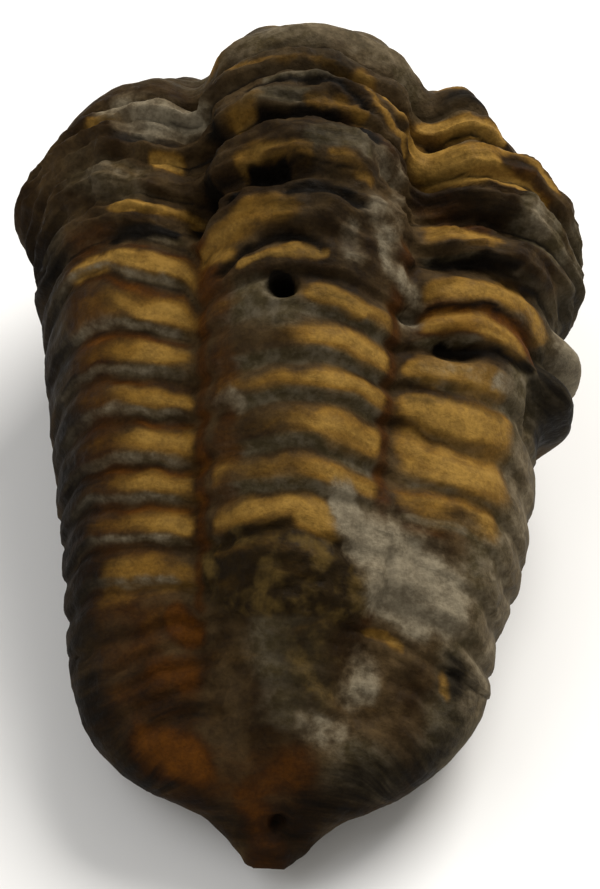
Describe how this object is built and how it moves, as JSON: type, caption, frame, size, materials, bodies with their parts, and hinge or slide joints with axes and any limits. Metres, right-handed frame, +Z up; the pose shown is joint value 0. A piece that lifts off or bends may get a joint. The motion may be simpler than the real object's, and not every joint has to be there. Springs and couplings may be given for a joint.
{
  "type": "fossil trilobite",
  "caption": "Arched fossil trilobite of banded stone, its ringed back raised and its head curled down, lying on a flat patch of fused rock to be shown on a shelf or table.",
  "frame": {"origin": "middle of the bounding box's bottom, on the flat patch of rock that the fossil rests on", "axes": "+Y along the body towards the head, +X to the animal's right, +Z up"},
  "size_m": [0.0352, 0.0542, 0.0265],
  "materials": {
    "fossil_stone": "weathered ochre and grey-brown banded stone, matt with slightly polished crests"
  },
  "bodies": {
    "root": {"trilobite": "fossil_stone"}
  },
  "joints": []
}
